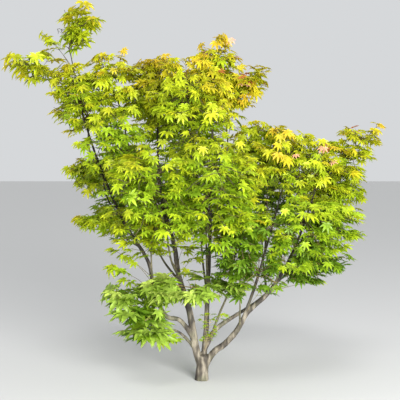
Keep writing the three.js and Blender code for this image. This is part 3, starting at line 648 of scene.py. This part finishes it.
# ---------------------------------------------------------------- leaves
LOBES = [(0, 1.0), (37, 0.93), (73, 0.76), (111, 0.5)]  # degrees from the middle lobe, and length
SINUS = [0.42, 0.39, 0.3]  # between neighbouring lobes
NOTCH = (152, 0.13)  # beside the stalk
RIB_PLACES = (0.42, 0.7)  # along a lobe
WIDE, TOOTH, NEAR_TIP = (0.6, 0.128, 1), (0.67, 0.108, 0.75), (0.81, 0.085, 0.55)  # along, half width, raised
BLADE_WIDTH = (0.9, 1.06)
BLADE_TWIST, BLADE_RIPPLE = 0.25, 0.03


def leaf_template(full):
    """Outline and ribs of a seven-lobed leaf, flat, middle lobe on +X, length 1; z marks the ribs (0) and
    the raised margins (1). The plainer leaf has no tooth on its lobes."""
    points, faces = [(0.0, 0.0, 0.0)], []

    def put(angle, radius, offset, raised):
        a = math.radians(angle)
        x = radius * math.cos(a) - offset * math.sin(a)
        y = radius * math.sin(a) + offset * math.cos(a)
        points.append((x, y, raised))
        return len(points) - 1

    def on_margin(angle, length, hand, place):
        along, half_width, raised = place
        return put(angle, along * length, hand * half_width * length, raised)

    lobes = sorted([(-a, length) for a, length in LOBES[1:]] + LOBES)
    gaps = [(-NOTCH[0], NOTCH[1])]
    for (a, _), (b, _) in zip(lobes, lobes[1:]):
        gaps.append(((a + b) / 2, SINUS[min(abs(round((a + b) / 2)) // 36, 2)]))
    gaps.append(NOTCH)
    edges = [put(angle, radius, 0, 0.8) for angle, radius in gaps]
    for k, (angle, length) in enumerate(lobes):
        rib1, rib2 = (put(angle, along * length, 0, 0) for along in RIB_PLACES)
        tip = put(angle, length, 0, 0)
        for hand, sinus in ((-1, edges[k]), (1, edges[k + 1])):
            wide = on_margin(angle, length, hand, WIDE)
            if full:
                tooth = on_margin(angle, length, hand, TOOTH)
                near = on_margin(angle, length, hand, NEAR_TIP)
                strip = [(0, rib1, sinus), (rib1, wide, sinus), (rib1, tooth, wide), (rib1, rib2, tooth),
                         (rib2, near, tooth), (rib2, tip, near)]
            else:
                strip = [(0, rib1, sinus), (rib1, wide, sinus), (rib1, rib2, wide), (rib2, tip, wide)]
            faces += strip if hand > 0 else [(a, c, b) for a, b, c in strip]
    return np.array(points), np.array(faces)


FULL_LEAF, PLAIN_LEAF = leaf_template(True), leaf_template(False)


def blade(rng, template, length, droop, fold):
    """One leaf's points in its own frame: pleated between the ribs, lobes arching down, a little uneven."""
    x, y, raised = template.T
    x, y = x * length, y * length * rng.uniform(*BLADE_WIDTH)
    reach = np.hypot(x, y) / length
    twist = rng.uniform(-BLADE_TWIST, BLADE_TWIST)
    z = raised * fold * length - droop * length * reach**2.2 + twist * y * reach
    z += BLADE_RIPPLE * length * np.sin(5 * np.arctan2(y, x) + rng.uniform(0, 6)) * reach**2
    return np.stack([x * (1 - 0.12 * droop * reach), y * (1 - 0.2 * droop * reach), z], 1)


# ---------------------------------------------------------------- the masses, by the part's own rule
class Space:
    """The room that one mass of foliage keeps to, round the stem that its limb grows into."""

    def __init__(self, index, name, limb, reach, wide, thick, sprays, ripe):
        self.index, self.name, self.sprays, self.ripe = index, name, sprays, ripe
        self.taper = TAPER.get(name, 0)
        self.limb = limbs[limb]
        self.root, self.heading = self.limb.curve.at(1), self.limb.curve.heading(1)
        self.reach = np.array(reach) * PERCENT
        usual = SIZE_LOW if self.reach[2] < SIZE_CHANGES * HEIGHT else SIZE_HIGH
        self.leaf = LEAF_LENGTH * LEAF_SIZE.get(name, usual)
        along = self.reach - self.root
        half = SPACE_LENGTH * np.linalg.norm(along)
        along = unit(along)
        side = np.cross(UP, along)
        side = unit(side) if np.linalg.norm(side) >= 0.5 else unit(SIDEWAYS - along * along[0])
        self.axes = np.array([along, side, np.cross(along, side)])
        self.centre = self.reach - along * half
        self.halves = np.array([half, wide * PERCENT, thick * PERCENT])
        self.curve = self.stem()

    def stem(self):
        start = self.root + self.heading * 0.25 * MASS_LEAF
        end = self.reach - self.axes[0] * 1.35 * MASS_LEAF
        return curve_through([self.root, start, self.centre + (end - self.centre) * 0.2, end])

    def fullness(self, point, inset=0.0):
        """0 in the middle of the space, and 1 at its edge."""
        share = self.axes @ (point - self.centre) / np.maximum(self.halves - inset, 0.02)
        if self.taper < 0:
            share[1:] /= (1 + self.taper) * (1 - self.taper * clamp(share[0], -1, 1))
        else:
            share[1:] /= 1 - self.taper * clamp(share[0], 0, 1)
        return float((np.abs(share) ** ROUNDNESS).sum())

    def sample(self, rng):
        """A place for a twig's tip, moved towards the nearest flat layer."""
        for _ in range(60):
            share = np.array([rng.uniform(-1, 1) for _ in range(3)])
            point = self.centre + (share * self.halves) @ self.axes
            fall = TIER_FALL * math.hypot(point[0], point[1])
            level = (point[2] + fall) / TIER
            point[2] += TIER * LOOSER.get(self.name, PULL) * (round(level) - level)
            if self.fullness(point, INSET) < 1:
                return point
        return self.centre.copy()


SHOWN = [  # stretches of limb that show between the leaves, and how far leaves keep from the sight of them
    ("left_whip", 0.34, 0.86, 0.012), ("left_stem", 0.3, 0.96, 0.019), ("middle_stem", 0.28, 0.6, 0.014),
    ("right_inner_bough", 0.0, 0.96, 0.019), ("right_stem", 0.35, 1.0, 0.014),
]
SEEN, SIGHT = [], []
for name, low, high, width in SHOWN:
    for share in np.arange(low, high, 0.012):
        SEEN.append(limbs[name].curve.at(share))
        SIGHT.append(width)
SEEN, SIGHT = np.array(SEEN), np.array(SIGHT)
SEEN_DISTANCE = np.linalg.norm(SEEN - FRONT, axis=1)

LOWEST, HIGHEST = np.array(cad_box[0]) - MARGIN, np.array(cad_box[1]) + MARGIN
twigs = Builder()
petioles = Builder()
leaves = [Builder() for _ in TINTS]


def tint_for(rng, space, site, full, youth, shade):
    """Golden on the crown's outer and upper leaves and green below, with a darker green painted as shade on
    the leaves within; a few young tips flush copper.
    """
    high = (site[2] - space.centre[2]) / (MASS_RISE * HEIGHT)
    drift = GOLD_DRIFT * noise.noise(Vector(site) * DRIFT_SCALE)
    # painted shade: leaves deep within their space get darker, greener tints
    value = (space.ripe + GOLD_IN_MASS * high + GOLD_IN_TREE * (site[2] / HEIGHT - TREE_MIDDLE)
             + GOLD_YOUNG * youth + PAINTED_SHADE_WITHIN * (min(full, 1) - OUTSIDE) + drift + shade
             + rng.gauss(0, GOLD_BY_LEAF))
    may_flush = youth > FLUSH_YOUTH and space.name in FLUSHED and high > 0
    if may_flush and rng.random() < FLUSHED[space.name]:
        return ROSE if rng.random() < ROSE_SHARE else COPPER
    # paler tints here: partly these leaves' own colour, partly a painted sheen of the sky
    if space.name in PALE_MASSES and value > PALE_FROM:
        return PALE_LIME if value > PALEST_FROM else PALE_GREEN
    return int(clamp(value, 0, 0.999) * RIPENING)


def hides_limb(site):
    """Whether a leaf here would hide a limb that shows between the leaves."""
    ray = site - FRONT
    share = SEEN_DISTANCE / np.linalg.norm(ray)
    near = np.linalg.norm(SEEN - (FRONT + ray * share[:, None]), axis=1)
    return bool(((near < SIGHT) & (share > 1)).any())


def hang_leaf(rng, space, node, way, length, youth, shade, ragged):
    """A leaf on its stalk: the stalk leaves sideways, the blade spreads outward, faces up and arches over. It
    is left out past the space's ragged edge or the solids' box, and where it would hide a limb."""
    stalk = rng.uniform(*PETIOLE) * (0.6 + 0.4 * length / LEAF_LENGTH)
    site = node + way * stalk - UP * stalk * 0.02
    outward = unit((site - space.centre) * LEVEL + space.centre * (0.4, 0.4, 0))
    flat = unit(way * LEVEL + outward * 0.3 + np.array([rng.gauss(0, 0.3), rng.gauss(0, 0.3), 0]))
    risen = clamp((site[2] / HEIGHT - HANGING_RISE[0]) / HANGING_RISE[1], 0, 1)
    hanging = HANGING_SHARE[0] + HANGING_SHARE[1] * risen + HANGING.get(space.name, 0)
    pitches = HANGING_PITCH if rng.random() < hanging else SPREAD_PITCH
    pitch = math.radians(rng.uniform(*pitches))
    direction = unit(flat * math.cos(pitch) - UP * math.sin(pitch))
    tip = site + direction * length
    full = space.fullness(site + direction * length * 0.7)
    if ragged and full > EDGE - RAGGED * rng.random() ** 2:
        return
    if (tip < LOWEST).any() or (tip > HIGHEST).any():
        return
    if any(hides_limb(site + direction * length * share) for share in (0.1, 0.45, 0.8)):
        return
    normal = unit(UP + flat * 0.35 + outward * 0.15)
    normal = unit(normal - direction * normal.dot(direction))
    roll = rng.gauss(0, ROLL)
    cos, sin = math.cos(roll), math.sin(roll)
    side = np.cross(normal, direction)
    normal, side = normal * cos + side * sin, side * cos - normal * sin
    template, faces = FULL_LEAF if full > IN_SIGHT else PLAIN_LEAF
    points = blade(rng, template, length, rng.uniform(*DROOP), rng.uniform(*FOLD))
    tint = tint_for(rng, space, site, full, youth, shade)
    leaves[tint].add(site + points @ np.array([direction, side, normal]), faces)
    petioles.stalk(node, site)


def grow_twigs(rng, space):
    """A mass's stem, then twigs that each reach for the emptiest of a few places. Gives the twigs that bear
    leaves, and whether those keep to the space's ragged edge."""
    bones = []  # places that a twig can leave from: point, heading, order

    def wood(curve, radii, order, steps, sides):
        shares = np.linspace(0, 1, steps + 1)
        places = np.array([curve.at(s) for s in shares])
        twigs.tube(places, [radii[0] + (radii[1] - radii[0]) * s for s in shares], sides)
        for s in shares[1:]:
            bones.append((curve.at(s), curve.heading(s), order))

    first = max(space.limb.radius(1) * 0.98, STEM_RADIUS[0])
    wood(space.curve, (first, STEM_RADIUS[1]), 0, steps=9, sides=7)
    start, last = space.curve.at(1), space.reach - space.axes[0] * 0.75 * LEAF_LENGTH
    leader = curve_through([start, start + space.curve.heading(1) * 0.04, last])
    wood(leader, (STEM_RADIUS[1], SPRIG_RADIUS[1]), 1, steps=3, sides=5)
    leafy = [(space.curve, False), (leader, False)]
    taken = [space.curve.at(1)]
    sprays = round(space.sprays * SPRAYS * SPARSE.get(space.name, 1))
    for n in range(sprays):
        order = 1 if n < sprays * FIRST_ORDER else 2
        best = None
        for _ in range(rng.choice(CHOICES)):
            point = space.sample(rng)
            room = min(np.linalg.norm(point - other) for other in taken)
            gap, bone = min(((np.linalg.norm(point - b[0]), k) for k, b in enumerate(bones) if b[2] < order))
            score = room - FAR * gap
            if best is None or score > best[0]:
                best = (score, point, bone, gap)
        _, point, bone, gap = best
        if gap < SHORTEST_TWIG:
            continue
        taken.append(point)
        start, heading, _ = bones[bone]
        way = point - start
        lead = start + unit(unit(way) + 0.7 * heading) * 0.35 * np.linalg.norm(way)
        late = point - unit(unit(way) + UP * 0.25) * 0.3 * np.linalg.norm(way)
        curve = curve_through([start, lead, late, point])
        radii, sides = (TWIG_RADIUS, 5) if order == 1 else (SPRIG_RADIUS, 4)
        wood(curve, radii, order, max(3, int(curve.length / TWIG_STEP)), sides)
        leafy.append((curve, True))
    return leafy


def leaf_out(rng, space, curve, ragged):
    """Opposite pairs of leaves at a twig's last nodes, mostly spread flat, and one leaf at its tip."""
    spacing = rng.uniform(*NODES_APART)
    nodes = 4 if curve.length > LONG_TWIG else 3
    turn = rng.uniform(0, math.pi)
    shade = rng.gauss(0, GOLD_BY_TWIG)
    for k in range(nodes):
        share = 1 - (k * spacing + TIP_GAP) / curve.length
        if share < BARE_FOOT:
            break
        node, heading = curve.at(share), curve.heading(share)
        side = unit(np.cross(heading, UP) + 1e-6)
        over = np.cross(side, heading)
        angle = turn + k * math.pi / 2
        across = side * (0.55 + 0.45 * abs(math.cos(angle))) + over * math.sin(angle) * 0.35
        for hand in (-1, 1):
            youth = max(0, 1 - k * 0.5 - rng.random() * 0.5)
            length = space.leaf * rng.uniform(*(TIP_LEAVES if k == 0 else OTHER_LEAVES))
            way = unit(heading * 0.6 + across * hand)
            hang_leaf(rng, space, node, way, length, youth, shade, ragged)
    length = space.leaf * rng.uniform(*END_LEAF)
    hang_leaf(rng, space, curve.at(1), curve.heading(1), length, rng.random(), shade, ragged)


def grow(space):
    rng = random.Random(FIRST_SEED + SEED_STEP * space.index)
    for curve, ragged in grow_twigs(rng, space):
        leaf_out(rng, space, curve, ragged)


spaces = [Space(index, *row) for index, row in enumerate(MASSES)]
for space in spaces:
    grow(space)

SPRIGS = [  # small, on the bare wood: limb, its share, tip, number of leaf pairs, leaf length
    ("left_whip", 0.26, (-22, -6, 35), 2, 0.05), ("left_whip", 0.24, (-19, -6, 33.4), 2, 0.05),
    ("left_whip", 0.21, (-21.5, -7, 30.6), 2, 0.075), ("left_whip", 0.18, (-18.5, -7, 27.2), 1, 0.06),
    ("left_low_bough", 0.55, (-9.5, -9, 13.2), 2, 0.06), ("left_low_bough", 0.45, (-7.4, -8, 12.6), 1, 0.055),
    ("left_whip", 0.95, (-40.5, -3, 91), 3, 0.05), ("left_whip", 0.93, (-38, -5, 89), 2, 0.05),
    ("left_stem", 0.4, (-5.2, -5, 35.4), 2, 0.055), ("middle_stem", 0.4, (-1.5, -5, 36), 2, 0.055),
    ("left_stem", 0.38, (-9.5, -4, 34.6), 2, 0.05), ("right_top_bough", 0.8, (9.6, -2, 67), 3, 0.052),
    ("right_top_bough", 0.6, (8, -4, 70), 3, 0.052),
    ("left_stem", 0.36, (-3.2, -3, 32.2), 1, 0.055), ("left_stem", 0.33, (-4.4, -3, 29.4), 1, 0.05),
    ("middle_stem", 0.07, (2.2, -2.4, 15.8), 3, 0.026), ("middle_stem", 0.05, (2.8, -2.2, 13.2), 3, 0.024),
    ("middle_stem", 0.04, (1.6, -2.6, 12.2), 3, 0.022), ("middle_stem", 0.09, (1.3, -2.2, 17.6), 2, 0.026),
    ("right_low_bough", 0.12, (4.8, -1.6, 17.2), 2, 0.03), ("right_stem", 0.3, (15.2, -4, 24.4), 2, 0.04),
    ("right_stem", 0.46, (29, -3, 26.6), 1, 0.05),
]
SPRIG_LIFT = 0.012  # how far a sprig bows up
SPRIG_LEAFY = 0.4  # share of a sprig that its pairs of leaves are on


def grow_sprig(rng, space, limb, share, tip, pairs, length):
    start, tip = limbs[limb].curve.at(share), np.array(tip) * PERCENT
    space.centre = tip
    curve = curve_through([start, (start + tip) / 2 + UP * SPRIG_LIFT, tip])
    steps = max(3, int(curve.length / LOOSE_STEP))
    places = [curve.at(k / steps) for k in range(steps + 1)]
    twigs.tube(places, np.linspace(*LOOSE_RADIUS, steps + 1), 5)
    for k in range(pairs):
        place = 1 - k * SPRIG_LEAFY / pairs
        node, heading = curve.at(place), curve.heading(place)
        for hand in (-1, 1):
            way = unit(heading * 0.4 + hand * unit(np.cross(heading, UP) + 1e-6))
            hang_leaf(rng, space, node, way, length * rng.uniform(0.8, 1.05), 0.3, 0, ragged=False)
    hang_leaf(rng, space, tip, curve.heading(1), length, 0.5, 0.1, ragged=False)


sprig_rng = random.Random(SPRIG_SEED)
loose = Space(len(MASSES), "loose", "middle_stem", (3, 4, 90), 60, 60, 0, 0.7)
for row in SPRIGS:
    grow_sprig(sprig_rng, loose, *row)


# ---------------------------------------------------------------- the finished pieces
foliage_nodes = [space.name + "_foliage" for space in spaces]
twig_piece = twigs.object("twigs", twig_bark)
stalk_piece = petioles.object("leaf_stalks", leaf_stalk)
for piece in (twig_piece, stalk_piece):
    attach(piece, "root")
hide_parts(*foliage_nodes)
for (name, _), builder, surface in zip(TINTS, leaves, TINT_MATERIALS):
    for piece in builder.pieces("leaves_" + name, surface):
        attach(piece, "root")
        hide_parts(*foliage_nodes)
        print("piece", piece.name, len(piece.data.polygons))
print("leaves", len(petioles.points), "twigs", len(twig_piece.data.polygons),
      "stalks", len(stalk_piece.data.polygons), "bark", len(bark.data.polygons),
      "boughs", len(boughs.data.polygons))
